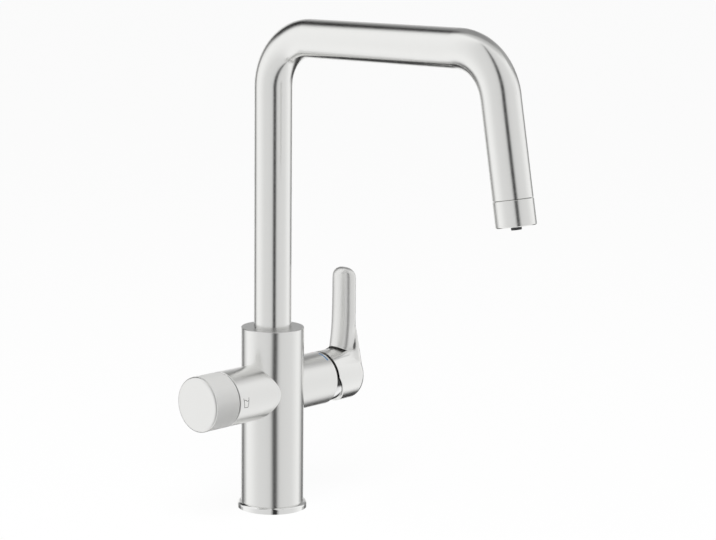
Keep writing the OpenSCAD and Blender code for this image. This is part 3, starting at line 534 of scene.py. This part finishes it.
# %% Body steel
column_radius = 23.5 * MM
column_top = 137 * MM
column_rough = 0.21
barrel_rough = 0.29
top_rough = 0.4
top_steel = (0.68, 0.68, 0.67)
body_steel, shader = finish("body_steel", STEEL, column_rough, 1.0)
tree = body_steel.node_tree
column_place = place_on(tree)
column = use_group(tree, turned, Place=column_place)
barrels = use_group(tree, turned, Place=place_on(tree, handle_centre, ON_X))
on_barrel = math_node(tree, "GREATER_THAN", column["Radius"], column_radius + 0.1 * MM)
along = mix_numbers(tree, on_barrel, column["Along"], barrels["Along"])
scratch(tree, shader, column_place, along)
height = coordinates_of(tree, column_place)["Z"]
on_top = math_node(tree, "GREATER_THAN", height, column_top - 0.3 * MM)
brushed_rough = mix_numbers(tree, on_barrel, column_rough, barrel_rough)
tree.links.new(mix_numbers(tree, on_top, brushed_rough, top_rough), shader.inputs["Roughness"])
tree.links.new(blend_colours(tree, on_top, STEEL, top_steel), shader.inputs["Base Color"])
dress("body", body_steel)

# %% [markdown]
# Other turned pieces need one axis only. The outlet collar's axis leans with the outlet leg.
# Brass that nobody sees is left as it was turned, and the adapter that ends at the collar's
# seam is plated, so that the seam stays a grey line.

# %% Turned steel and brass
ON_LEG = (-leg_lean, 0, 0)
leg_reach = bend_radius * math.cos(leg_lean)
leg_rise = bend_radius * math.sin(leg_lean)
leg_centre = (0, far_bend - leg_reach, riser_top + leg_rise)


def turned_metal(name, colour, centre, turn, roughness, depth=BRUSH_DEPTH, tint=LINE_TINT):
    """Metal with lines round an axis."""
    material, shader = finish(name, colour, roughness, 1.0)
    tree = material.node_tree
    place = place_on(tree, centre, turn)
    along = use_group(tree, turned, Place=place)["Along"]
    brush(tree, shader, place, along, roughness, depth, tint)
    return material


UPRIGHT = ((0, 0, 0), (0, 0, 0))
HANDLE = (handle_centre, ON_X)
LEG = (leg_centre, ON_LEG)
PIN = (handle_centre, (math.radians(90), 0, 0))
BRASS = (0.78, 0.60, 0.33)
collar_steel = turned_metal("collar_steel", STEEL, *LEG, roughness=0.21)
screw_steel = turned_metal("screw_steel", (0.55, 0.55, 0.56), *UPRIGHT, roughness=0.3)
pin_steel = turned_metal("pin_steel", (0.7, 0.7, 0.7), *PIN, roughness=0.18)
upright_brass = turned_metal("upright_brass", BRASS, *UPRIGHT, roughness=0.26, depth=0.000006, tint=0.08)
handle_brass = turned_metal("handle_brass", BRASS, *HANDLE, roughness=0.26, depth=0.000006, tint=0.08)
plating = {"roughness": 0.3, "depth": 0.000004, "tint": 0.05}
plated_brass = turned_metal("plated_brass", (0.5, 0.5, 0.48), *HANDLE, **plating)
plated_leg = turned_metal("plated_leg", (0.3, 0.3, 0.29), *LEG, **plating)
print("outlet leg leans", round(math.degrees(leg_lean)), "degrees")

# %% [markdown]
# The ring at the foot and the dome under the lever are polished. Polish is never perfect: a
# broad noise lets the gloss vary a little, as if wiped with a cloth. The dome is only clear to
# see in the opening under the cap. Above that the cap's lip lies close to it, and its shade is
# painted into the steel's colour: dark there, and less so towards its top.

# %% Polished steel
polished_steel, shader = finish("polished_steel", (0.88, 0.88, 0.87), 0.07, 1.0)
tree = polished_steel.node_tree
wiped = use_group(tree, grain, Place=place_on(tree), Grains_per_metre=700.0)["Patches"]
tree.links.new(between(tree, wiped, 0.03, 0.13), shader.inputs["Roughness"])

# Painted shade: the dome's colour is dark above the opening under the cap, and lighter again towards its top.
shade_low = -6 * MM
shade_high = 16 * MM
shade_by_height = [(0, 0.88), (0.12, 0.06), (0.3, 0.08), (0.6, 0.3), (0.9, 0.5)]
dome_steel = polished_steel.copy()
dome_steel.name = "dome_steel"
tree = dome_steel.node_tree
height = coordinates_of(tree, place_on(tree, handle_centre))["Z"]
up_the_dome = between(tree, height, 0, 1, shade_low, shade_high, "up the dome")
painted_shade = ramp_node(tree, up_the_dome, shade_by_height, "painted shade under the cap's lip")
tree.links.new(painted_shade, tree.nodes["Principled BSDF"].inputs["Base Color"])
print("polished:", polished_steel.name, "and", dome_steel.name)

# %% [markdown]
# The filter knob is matt grey on its side, where the fingers hold it, and brushed steel on its
# face. The matt side has a fine grain and no lines, and it mirrors hardly anything, so the
# soft lamp above shows on it.

# %% Matt knob
knob_face = 76.4 * MM
knob_grain = 0.000006
matt_grey = (0.55, 0.55, 0.54)
knob_steel, shader = finish("knob_steel", STEEL, 0.3, 1.0)
tree = knob_steel.node_tree
place = place_on(tree, handle_centre, ON_X)
rings = use_group(tree, turned, Place=place)
lines = use_group(tree, brushing, Place=place, Along=rings["Along"])
grained = use_group(tree, grain, Place=place, Grains_per_metre=2600.0)
on_face = math_node(tree, "LESS_THAN", coordinates_of(tree, place)["Z"], -knob_face)
side_rough = between(tree, grained["Patches"], 0.42, 0.5)
face_rough = between(tree, lines["Tone"], 0.26, 0.34)
tree.links.new(mix_numbers(tree, on_face, side_rough, face_rough), shader.inputs["Roughness"])
tree.links.new(blend_colours(tree, on_face, matt_grey, STEEL), shader.inputs["Base Color"])
tree.links.new(on_face, shader.inputs["Metallic"])
bump(tree, shader, mix_numbers(tree, on_face, grained["Height"], lines["Height"]), knob_grain)
dress("filter_knob", knob_steel)

# %% [markdown]
# Now the dull materials. Each is one call: two shades of its colour, which the broad patches
# mix, its gloss, and how coarse and deep its grain is.

# %% Plastic, rubber, ceramic and paint
WEAR = 0.06


def dull(name, dark, pale, roughness, grains, depth):
    """A grained material whose colour and gloss vary in broad, faint patches."""
    material, shader = finish(name, dark, roughness)
    tree = material.node_tree
    found = use_group(tree, grain, Place=place_on(tree), Grains_per_metre=float(grains))
    tree.links.new(blend_colours(tree, found["Patches"], dark, pale), shader.inputs["Base Color"])
    gloss = between(tree, found["Patches"], roughness - WEAR, roughness + WEAR)
    tree.links.new(gloss, shader.inputs["Roughness"])
    bump(tree, shader, found["Height"], depth)
    return material


ceramic = dull("ceramic", (0.80, 0.78, 0.72), (0.90, 0.88, 0.83), 0.22, 5000, 0.000001)
rubber = dull("rubber", (0.012, 0.012, 0.013), (0.035, 0.035, 0.036), 0.62, 3000, 0.00001)
grey_plastic = dull("grey_plastic", (0.20, 0.21, 0.23), (0.30, 0.31, 0.33), 0.42, 2500, 0.000006)
white_plastic = dull("white_plastic", (0.76, 0.76, 0.73), (0.86, 0.86, 0.84), 0.4, 2500, 0.000006)
dark_plastic = dull("dark_plastic", (0.022, 0.022, 0.024), (0.045, 0.045, 0.048), 0.34, 2500, 0.000006)
blue = dull("cold_blue", (0.07, 0.19, 0.38), (0.12, 0.27, 0.48), 0.3, 4000, 0.000003)
red = dull("hot_red", (0.50, 0.04, 0.03), (0.64, 0.07, 0.05), 0.3, 4000, 0.000003)
print(len(bpy.data.materials), "materials so far")

# %% [markdown]
# The record names a slot for every node, such as rubber or brass, and each slot now has its
# material. A few nodes get one of their own, because their axis or their plating differs.

# %% Finishes for all other nodes
by_slot = {
    "ceramic": ceramic, "rubber": rubber, "plastic_grey": grey_plastic, "plastic_white": white_plastic,
    "plastic_dark": dark_plastic, "mark_blue": blue, "mark_red": red, "polished": polished_steel,
    "steel_small": screw_steel, "brass": handle_brass, "brushed": collar_steel,
}
by_node = {
    "spout_stub": upright_brass, "inlet_block": upright_brass, "mounting_shank": upright_brass,
    "outlet_adapter": plated_leg, "cartridge_nut": plated_brass, "pivot_pin": pin_steel,
    "dome_ring": dome_steel,
}
slot_of = {part["node"]: part["material_slot"] for part in frame["record"]["subparts"]}
finished = {"spout_tube", "body", "filter_knob"}
for name in sorted(nodes.keys() - finished):
    nodes[name].data.materials.clear()
    nodes[name].data.materials.append(by_node.get(name, by_slot[slot_of[name]]))
print(len(nodes) - len(finished), "nodes take their finish from their slot")

# %% [markdown]
# The lever is a cap with an arm that rises from it. The solid model gives its form in flat
# facets. A copy with its corners merged can be shaped a little further and shaded smooth, and
# then it takes over from the solid. The sizes here are the solid lever's own.

# %% Lever copy
arm_back = 82.4 * MM
arm_tip = 170.6 * MM
cap_top = 110.2 * MM
cap_radius = 20 * MM
foot_level = 105 * MM
crease_low = 108.6 * MM
crease_high = crease_low + 21 * MM
crease_start = 74.8 * MM
crease_end = 81.4 * MM
lever_mesh = nodes["lever"].data.copy()
lever_mesh.name = "mixing_lever"
lever_mesh.materials.clear()
shell = bmesh.new()
shell.from_mesh(lever_mesh)
bmesh.ops.remove_doubles(shell, verts=shell.verts, dist=0.002 * MM)
bmesh.ops.dissolve_limit(shell, angle_limit=math.radians(0.3), verts=shell.verts, edges=shell.edges)
print("lever copy:", len(shell.verts), "points")

# %% [markdown]
# A flat facet can't be rounded, because it has points at its corners only. Cuts in three
# directions give the arm the points that a rounder form needs. Their places are in
# millimetres: heights up the arm, then across it, then from its inner side to its outer one.

# %% Cuts through the arm
cut_heights = range(111, 144, 2)
cut_sides = range(-10, 11)
cut_reaches = range(70, 82)


def cut_arm(place, way):
    """Cuts the arm's faces along a plane, and leaves the cap as it is."""
    arm = [face for face in shell.faces if max(point.co.z for point in face.verts) > cap_top + 1 * MM
           and face.calc_center_median().z > cap_top]
    edges = {edge for face in arm for edge in face.edges}
    points = {point for face in arm for point in face.verts}
    bmesh.ops.bisect_plane(shell, geom=[*points, *edges, *arm], plane_co=place, plane_no=way, dist=0.001 * MM)


for height in cut_heights:
    cut_arm((0, 0, height * MM), (0, 0, 1))
for side in cut_sides:
    cut_arm((0, side * MM, 0), (0, 1, 0))
for reach in cut_reaches:
    cut_arm((reach * MM, 0, 0), (1, 0, 0))
print("cut lever:", len(shell.verts), "points")

# %% [markdown]
# A narrow groove runs under the arm's foot, between it and the cap. Its walls get a second,
# near-black material later, which paints the shade in the groove. They are marked now, while
# they still lie where the solid model has them.

# %% Groove under the foot
groove_high = 0.8 * MM


def axis_distance(point):
    """How far a point lies from the handle axis."""
    return math.hypot(point.co.y, point.co.z - handle_height)


# Faces in the groove take the second material, which paints the groove's shade.
shaded_faces = 0
for face in shell.faces:
    heights = [axis_distance(point) - cap_radius for point in face.verts]
    on_lip = max(heights) < groove_high + 0.02 * MM
    over_cap = max(heights) > 0.5 * MM and min(heights) > -0.05 * MM and on_lip
    middle = face.calc_center_median()
    in_groove = over_cap and middle.z > foot_level and middle.x < crease_start
    face.material_index = 1 if in_groove else 0
    shaded_faces += face.material_index
print("groove:", shaded_faces, "faces")

# %% [markdown]
# The arm gets thicker towards its foot. In the solid it does so a little more than in the
# photograph, so each point on its inner side moves back. How far down the arm a point lies
# runs from 0 at the tip to 1 at the cap, and powers of that draw the flare. The sizes of the
# section are in millimetres.

# %% Slimmer foot
bar_thick = 9.2
solid_flare = 5
solid_power = 3.5
slim_flare = 3.3
slim_power = 4.5
on_cap = 19.9 * MM


def way_down(height):
    """0 at the arm's tip, 1 at the cap."""
    return min(1, max(0, (arm_tip - height) / (arm_tip - cap_top)))


moved = 0
for point in shell.verts:
    x, y, z = point.co
    if z < foot_level or axis_distance(point) < on_cap:
        continue
    down = way_down(z)
    climbed = min(1, max(0, (z - crease_low) / (crease_high - crease_low)))
    crease_x = crease_start + (crease_end - crease_start) * climbed
    inner_x = arm_back - (bar_thick + solid_flare * down ** solid_power) * MM
    forward = (crease_x - x) / (crease_x - inner_x)
    if 0 < forward < 1.1:
        point.co.x += forward * (solid_flare * down ** solid_power - slim_flare * down ** slim_power) * MM
        moved += 1
print("slimmer foot:", moved, "points moved")

# %% [markdown]
# In the photograph the arm's inner side is crowned and its corners are broad. A rounded
# section is a curve between an ellipse and a rectangle, so each point is drawn in towards the
# section's middle until it lies on such a curve. The pull fades out at the crease, which stays
# sharp. At the groove, the foot is lifted a little towards the front. Smoothing then evens out
# what the cuts left.

# %% A rounder section
bar_half = 9.7
half_flare = 0.8
roundness = 2.4
solid_back = 0.12
crown = 2.2 * MM
spread = 0.9 * MM
crease_edge = 0.5 * MM
crease_fade = 8 * MM
crease_below = -0.4


def faded(value, low, high):
    """A share that runs smoothly from 0 at low to 1 at high."""
    t = min(1, max(0, (value - low) / (high - low)))
    return t * t * (3 - 2 * t)


def thickness(down):
    """Thickness of the arm with its slimmer foot."""
    return (bar_thick + slim_flare * down ** slim_power) * MM


def half_width(down):
    """Half the width of the arm."""
    return (bar_half + half_flare * down ** 2) * MM


def rounded(x, y, thick, half, pull):
    """A point of the section, drawn in towards the section's middle and crowned."""
    inward = ((arm_back - x) / thick - solid_back) / (1 - solid_back)
    if inward <= 0:
        return x, y
    size = (inward ** roundness + (abs(y) / half) ** roundness) ** (1 / roundness)
    share = 1 + pull * (min(1, 1 / size) - 1)
    depth = solid_back + (1 - solid_back) * inward * share
    return arm_back - (thick + crown * pull) * depth, y * share * (1 + pull * spread / half)


print("bar:", bar_thick, "mm by", 2 * bar_half, "mm")

# %% [markdown]
# These helpers now go over every point of the arm. Points of the foot that lie on the groove's
# roof keep their distance from the cap, so the groove stays open.

# %% Rounding the arm
inner_low = 69.9 * MM
groove_roof = 20.75 * MM
on_roof = 21 * MM
foot_start = 20.5 * MM
foot_middle = 20.8 * MM
foot_fade = 4 * MM
foot_lift = 0.9 * MM
clear_of_foot = 22 * MM
even_passes = 6
free = []
for point in shell.verts:
    x, y, z = point.co
    from_axis = axis_distance(point)
    if z < foot_level or from_axis < on_cap:
        continue
    down = way_down(z)
    groove = groove_high if from_axis < groove_roof else 0
    thick = thickness(down) - groove
    climb = max(crease_below, min(1, (x - crease_start) / (crease_end - crease_start)))
    crease = crease_low + (crease_high - crease_low) * climb
    pull = faded(z, crease + crease_edge, crease + crease_fade)
    if pull == 0 or (arm_back - x) > thick + 1 * MM:
        continue
    point.co.x, point.co.y = rounded(x, y, thick, half_width(down) - groove, pull)
    if from_axis < on_roof:
        point.co.z = handle_height + math.sqrt(from_axis ** 2 - point.co.y ** 2)
    if from_axis > foot_start and x < crease_start:
        near_groove = max(0, 1 - (from_axis - foot_middle) / foot_fade)
        point.co.z += foot_lift * near_groove * (crease_start - x) / (crease_start - inner_low)
    if pull > 0.3 and from_axis > clear_of_foot:
        free.append(point)
for _ in range(even_passes):
    bmesh.ops.smooth_vert(shell, verts=free, factor=0.5, use_axis_x=True, use_axis_y=True, use_axis_z=True)
print("rounder arm:", len(free), "points evened")

# %% [markdown]
# The upper arm is drawn afresh. The copy is cut open above the foot, and the open edge grows
# upward ring by ring: first along the straight bar, then over a domed tip.

# %% Upper arm
bar_from = 138 * MM
dome_from = 164.2 * MM
dome_high = 8.6 * MM
dome_roundness = 2.3
bar_rings = 10
dome_angles = range(8, 89, 8)
everything = shell.verts[:] + shell.edges[:] + shell.faces[:]
bmesh.ops.bisect_plane(shell, geom=everything, plane_co=(0, 0, bar_from), plane_no=(0, 0, 1),
                       dist=0.001 * MM, clear_outer=True)
ring = [edge for edge in shell.edges if edge.is_boundary]


def bar_size(height):
    """Thickness and half width of the bar at a height."""
    down = way_down(height)
    return thickness(down) + crown, half_width(down) + spread


def grow(ring, back, height, thicker, wider):
    """One more ring above an open edge, scaled towards the middle of the bar."""
    grown = bmesh.ops.extrude_edge_only(shell, edges=ring)["geom"]
    for point in grown:
        if isinstance(point, bmesh.types.BMVert):
            point.co = (back + (point.co.x - back) * thicker, point.co.y * wider, height)
    return [edge for edge in grown if isinstance(edge, bmesh.types.BMEdge) and edge.is_boundary]


last = bar_size(bar_from)
for i in range(1, bar_rings + 1):
    height = bar_from + (dome_from - bar_from) * i / bar_rings
    size = bar_size(height)
    ring = grow(ring, arm_back, height, size[0] / last[0], size[1] / last[1])
    last = size
middle = arm_back - last[0] / 2
share = 1
for degrees in dome_angles:
    turn = math.radians(degrees)
    narrower = math.cos(turn) ** (2 / dome_roundness)
    height = dome_from + dome_high * math.sin(turn) ** (2 / dome_roundness)
    ring = grow(ring, middle, height, narrower / share, narrower / share)
    share = narrower
bmesh.ops.contextual_create(shell, geom=ring)
bmesh.ops.recalc_face_normals(shell, faces=shell.faces)
closed = all(len(edge.link_faces) == 2 for edge in shell.edges)
print("upper arm:", len(ring), "points round it, closed:", closed)

# %% [markdown]
# The arm spreads into the cap in a flare on either side, and between the two lies a valley.
# Its corner is rounded off by easing its points, and the flare's by a few passes of the same.
# Points on a sharp edge stay where they are.

# %% Soft valley
sharp_from = math.radians(28)
valley_side = 6 * MM
valley_low = 104 * MM
valley_high = crease_high + 2 * MM
valley_start = 74 * MM
corner_high = crease_high - 3 * MM
corner_end = 80.8 * MM
flare_from = 20.2 * MM
flare_end = arm_back - 1 * MM
corner_passes = 16
flare_passes = 6
corner = []
flare = []
for point in shell.verts:
    x, y, z = point.co
    if abs(y) <= valley_side or not valley_low < z < valley_high or x <= valley_start:
        continue
    sharpest = max(edge.calc_face_angle(0) for edge in point.link_edges)
    if z < corner_high and x < corner_end:
        corner.append(point)
    elif axis_distance(point) > flare_from and sharpest < sharp_from and x < flare_end:
        flare.append(point)
for i in range(corner_passes):
    loose = corner + flare if i < flare_passes else corner
    bmesh.ops.smooth_vert(shell, verts=loose, factor=0.5, use_axis_x=True, use_axis_y=True, use_axis_z=True)
print("valley:", len(corner), "points, flare:", len(flare), "points")

# %% [markdown]
# Last, every face is shaded smooth, except where two faces meet at a clear angle. The shaped
# copy becomes a piece of its own, which rides with the lever and stands for it.

# %% Smooth lever


def new_piece(name, mesh):
    """An object at the origin, in the scene."""
    piece = bpy.data.objects.new(name, mesh)
    bpy.context.scene.collection.objects.link(piece)
    return piece


bar_low = crease_high + 1 * MM
for face in shell.faces:
    face.smooth = True
soft = set(corner)
for edge in shell.edges:
    in_valley = edge.verts[0] in soft and edge.verts[1] in soft
    on_bar = min(point.co.z for point in edge.verts) > bar_low
    edge.smooth = in_valley or on_bar or edge.calc_face_angle(math.pi) < sharp_from
shell.to_mesh(lever_mesh)
print("mixing lever:", len(shell.faces), "faces")
shell.free()
mixing_lever = new_piece("mixing_lever", lever_mesh)
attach(mixing_lever, "lever_tilt")
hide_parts("lever")

# %% [markdown]
# Its cap is brushed round the handle axis like the barrel beside it, and its arm lengthwise.
# The arm is a little duller, so that it shows the room in broad soft bands. Its outer face
# runs straight into the cap's end, so there one finish fades into the other.

# %% Lever steel
cap_rough = 0.2
arm_rough = 0.36
lever_steel, shader = finish("lever_steel", STEEL, cap_rough, 1.0)
tree = lever_steel.node_tree
place = place_on(tree)
parts = coordinates_of(tree, place)
cap_along = use_group(tree, turned, Place=place_on(tree, handle_centre, ON_X))["Along"]
arm_along = math_node(tree, "ADD", parts["X"], parts["Y"])
crease = between(tree, parts["X"], crease_low, crease_high, crease_start, crease_end, "height of the crease")
above_crease = math_node(tree, "GREATER_THAN", parts["Z"], crease)
up_outside = between(tree, parts["Z"], 0, 1, crease_low, arm_tip, "up the outer face")
outside = math_node(tree, "GREATER_THAN", parts["X"], crease_end)
on_arm = mix_numbers(tree, outside, above_crease, up_outside)
lines = scratch(tree, shader, place, mix_numbers(tree, on_arm, cap_along, arm_along))
tint_lines(tree, shader, lines)
tree.links.new(mix_numbers(tree, on_arm, cap_rough, arm_rough), shader.inputs["Roughness"])
# Painted shade: the groove's walls take a near-black matt material.
groove_shade = dull("groove_painted_shade", (0.03, 0.03, 0.03), (0.07, 0.07, 0.065), 0.6, 3000, 0.00001)
lever_mesh.materials.append(lever_steel)
lever_mesh.materials.append(groove_shade)
print("mixing lever:", lever_steel.name, "and", groove_shade.name)

# %% [markdown]
# The hollow shank under the deck carries a fine thread, 33 mm across with a pitch of 1.5 mm.
# One spin of its half section makes the tube, with enough rows of points for the thread.

# %% Plain shank
shank_radius = 16.5 * MM
shank_bore = 13.5 * MM
shank_low = -48 * MM
neck_radius = 16.2 * MM
neck_high = 14 * MM
pitch = 1.5 * MM
thread_depth = 0.9 * MM
thread_high = -2 * MM
rows_per_pitch = 8
columns = 72
rows = round((thread_high - shank_low) / pitch * rows_per_pitch)

outline = [(shank_bore, thread_high), (shank_bore, shank_low)]
outline += [(shank_radius, shank_low + (thread_high - shank_low) * i / rows) for i in range(rows + 1)]
outline += [(shank_radius, 0), (neck_radius, 0), (neck_radius, neck_high), (shank_bore, neck_high)]
shell = bmesh.new()
points = [shell.verts.new((radius, 0, height)) for radius, height in outline]
for first, second in zip(points, points[1:] + points[:1]):
    shell.edges.new((first, second))
bmesh.ops.spin(shell, geom=shell.verts[:] + shell.edges[:], cent=(0, 0, 0), axis=(0, 0, 1),
               angle=2 * math.pi, steps=columns, use_merge=True)
print("plain shank:", len(shell.verts), "points")

# %% [markdown]
# The thread is cut into the plain tube by moving its outer points inwards. A point's height in
# pitches, less its share of a turn, says where on the V it lies.

# %% Thread of the shank
for point in shell.verts:
    radius = math.hypot(point.co.x, point.co.y)
    if radius > shank_radius - 0.01 * MM and point.co.z <= thread_high:
        turns = point.co.z / pitch - math.atan2(point.co.y, point.co.x) / (2 * math.pi)
        valley = 1 - abs(2 * (turns % 1) - 1)
        fade = min(1, (thread_high - point.co.z) / pitch)
        start = max(0, 1 - (point.co.z - shank_low) / thread_depth)
        share = 1 - thread_depth * max(valley * fade, start) / radius
        point.co.x *= share
        point.co.y *= share
bmesh.ops.recalc_face_normals(shell, faces=shell.faces)
shank_mesh = bpy.data.meshes.new("threaded_shank")
shell.to_mesh(shank_mesh)
closed = all(len(edge.link_faces) == 2 for edge in shell.edges)
print("threaded shank:", len(shell.faces), "faces, closed:", closed)
shell.free()
shank_mesh.materials.append(upright_brass)
threaded_shank = new_piece("threaded_shank", shank_mesh)
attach(threaded_shank, "tap_body")
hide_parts("mounting_shank")

# %% [markdown]
# A small sign on the left barrel says which handle gives drinking water. Here it is a plain
# tumbler with a wave in it, in lines about 0.5 mm wide. It is first laid out flat, in
# millimetres, and each of its points is then put on the barrel.

# %% Places on the barrel
barrel_radius = 20.4 * MM
sign_left = -50.3 * MM
line_radius = 0.36 * MM
line_sunk = 0.25 * MM
tumbler = [(0.3, 3.5), (1.1, -3.5), (4.7, -3.5), (5.5, 3.5)]
wave_steps = 12
wave_turn = 2 * math.pi / wave_steps
wave = [(0.5 + 4.8 * i / wave_steps, 1.5 + 0.55 * math.sin(wave_turn * i)) for i in range(wave_steps + 1)]


def on_barrel_side(u, v):
    """A point of the sign, in millimetres, laid on the front of the left barrel."""
    depth = barrel_radius - line_sunk
    return (sign_left + u * MM, -math.sqrt(depth ** 2 - (v * MM) ** 2), handle_height + v * MM)


def filled_in(stroke, step=0.5):
    """A stroke with points close enough together to follow the barrel."""
    path = []
    for (u0, v0), (u1, v1) in zip(stroke, stroke[1:]):
        count = max(1, round(math.hypot(u1 - u0, v1 - v0) / step))
        path += [(u0 + (u1 - u0) * i / count, v0 + (v1 - v0) * i / count) for i in range(count)]
    return path + [stroke[-1]]


print("sign:", len(filled_in(tumbler)) + len(filled_in(wave)), "points")

# %% [markdown]
# Each line is a curve with a round section that lies half sunk in the steel. It is made a mesh,
# and only what stands out of the barrel shows.

# %% Glass sign
sign_curve = bpy.data.curves.new("glass_sign", "CURVE")
sign_curve.dimensions = "3D"
sign_curve.bevel_depth = line_radius
sign_curve.bevel_resolution = 1
sign_curve.use_fill_caps = True
for stroke in (tumbler, wave):
    path = [on_barrel_side(u, v) for u, v in filled_in(stroke)]
    spline = sign_curve.splines.new("POLY")
    spline.points.add(len(path) - 1)
    for point, place in zip(spline.points, path):
        point.co = (*place, 1)
drawn = bpy.data.objects.new("glass_sign_curve", sign_curve)
sign_mesh = bpy.data.meshes.new_from_object(drawn)
bpy.data.objects.remove(drawn)
shell = bmesh.new()
shell.from_mesh(sign_mesh)
bmesh.ops.remove_doubles(shell, verts=shell.verts, dist=0.001 * MM)
bmesh.ops.recalc_face_normals(shell, faces=shell.faces)
shell.to_mesh(sign_mesh)
print("glass sign:", len(shell.faces), "faces")
shell.free()
engraved = dull("engraved_grey", (0.05, 0.05, 0.052), (0.09, 0.09, 0.092), 0.6, 4000, 0.000003)
sign_mesh.materials.clear()
sign_mesh.materials.append(engraved)
glass_sign = new_piece("glass_sign", sign_mesh)
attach(glass_sign, "tap_body")
